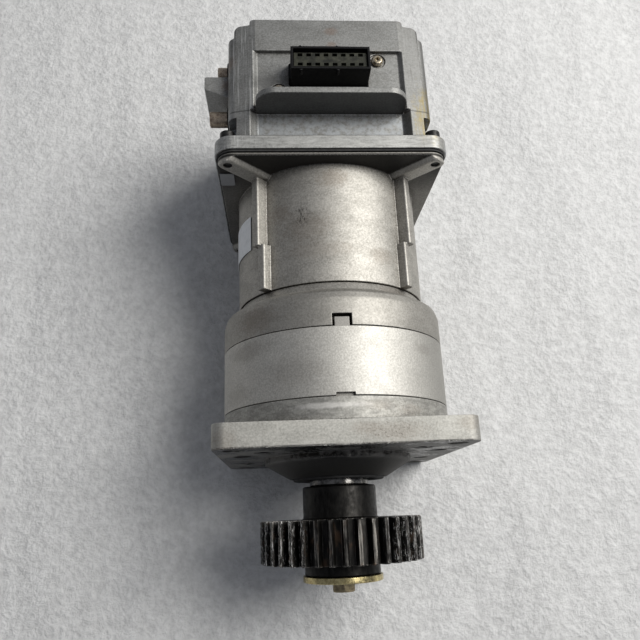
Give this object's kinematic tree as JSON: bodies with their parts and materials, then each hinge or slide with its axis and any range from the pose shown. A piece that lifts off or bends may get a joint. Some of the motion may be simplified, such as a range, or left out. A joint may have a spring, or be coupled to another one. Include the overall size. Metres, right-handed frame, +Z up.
{
  "type": "servo motor",
  "caption": "Steering servo motor with planetary gearbox, square output flange, spur pinion and an electronics housing with a header connector, lying on its side.",
  "frame": {"origin": "middle of the base, on the ground under both square flanges, centred in X and Y", "axes": "+Z up, +Y along the shaft axis from the pinion to the electronics housing, +X to the right seen from the pinion end"},
  "size_m": [0.1198, 0.2766, 0.127],
  "materials": {
    "cast_flange": "sand-blasted casting, satin",
    "turned_ring": "satin, fine turned",
    "motor_casting": "satin casting with brown smudges",
    "housing_casting": "die-cast, dull grey with draw marks",
    "black_steel": "black oxide, worn bright on the teeth",
    "bright_steel": "ground",
    "yellow_zinc": "yellow zinc plate",
    "screw_black": "black oxide",
    "nickel": "nickel plate",
    "brass": "tarnished",
    "rubber_black": "matt",
    "black_plastic": "moulded",
    "insert_plastic": "moulded",
    "core_steel": "laminated",
    "magnet": "bonded",
    "copper": "enamelled winding",
    "board_green": "solder mask",
    "capacitor": "sleeved can",
    "label_white": "printed film, left blank",
    "sticker_grey": "translucent film"
  },
  "bodies": {
    "housing": {"output_flange": "cast_flange", "shaft_seal": "rubber_black", "output_bearing_front": "bright_steel", "output_bearing_rear": "bright_steel", "ring_gear": "turned_ring", "motor_bell": "motor_casting", "motor_housing": "motor_casting", "rotor_seal": "rubber_black", "rotor_bearing_front": "bright_steel", "rotor_bearing_rear": "bright_steel", "stator_core": "core_steel", "stator_winding": "copper", "rear_bearing_shield": "motor_casting", "rating_label": "label_white", "edge_sticker": "sticker_grey", "housing_gasket": "rubber_black", "electronics_housing": "housing_casting", "encoder_board": "board_green", "control_board": "board_green", "power_module": "black_plastic", "connector_shell": "black_plastic", "connector_insert": "insert_plastic", "bus_capacitor_1": "capacitor", "bus_capacitor_2": "capacitor", "bus_capacitor_3": "capacitor", "gearbox_screw_1": "screw_black", "flange_screw_1": "screw_black", "gearbox_screw_2": "screw_black", "flange_screw_2": "screw_black", "gearbox_screw_3": "screw_black", "flange_screw_3": "screw_black", "gearbox_screw_4": "screw_black", "flange_screw_4": "screw_black", "connector_screw_1": "nickel", "power_stud_1": "brass", "stud_insulator_1": "black_plastic", "connector_screw_2": "nickel", "power_stud_2": "brass", "stud_insulator_2": "black_plastic"},
    "output": {"output_shaft": "bright_steel", "pinion": "black_steel", "pinion_key": "bright_steel", "pinion_washer": "yellow_zinc", "pinion_bolt": "yellow_zinc", "planet_pin_1": "bright_steel", "planet_pin_2": "bright_steel", "planet_pin_3": "bright_steel"},
    "rotor": {"rotor_shaft": "bright_steel", "rotor_core": "core_steel", "rotor_magnets": "magnet", "encoder_magnet": "magnet"},
    "planet_1_body": {"planet_1": "bright_steel"},
    "planet_2_body": {"planet_2": "bright_steel"},
    "planet_3_body": {"planet_3": "bright_steel"}
  },
  "joints": [
    {"name": "output_spin", "type": "hinge", "parent": "housing", "child": "output", "pos_m": [0.0029, -0.07665, 0.057], "axis": [0, 1, 0], "continuous": true},
    {"name": "rotor_spin", "type": "hinge", "parent": "housing", "child": "rotor", "pos_m": [0.0029, 0.02335, 0.057], "axis": [0, 1, 0], "continuous": true},
    {"name": "planet_1_spin", "type": "hinge", "parent": "output", "child": "planet_1_body", "pos_m": [0.0029, -0.04065, 0.0822], "axis": [0, 1, 0], "continuous": true},
    {"name": "planet_2_spin", "type": "hinge", "parent": "output", "child": "planet_2_body", "pos_m": [-0.01892, -0.04065, 0.0444], "axis": [0, 1, 0], "continuous": true},
    {"name": "planet_3_spin", "type": "hinge", "parent": "output", "child": "planet_3_body", "pos_m": [0.02472, -0.04065, 0.0444], "axis": [0, 1, 0], "continuous": true}
  ],
  "couplings": [
    {"joint": "rotor_spin", "follows": "output_spin", "ratio": 6},
    {"joint": "planet_1_spin", "follows": "output_spin", "ratio": -2.5},
    {"joint": "planet_2_spin", "follows": "output_spin", "ratio": -2.5},
    {"joint": "planet_3_spin", "follows": "output_spin", "ratio": -2.5}
  ]
}
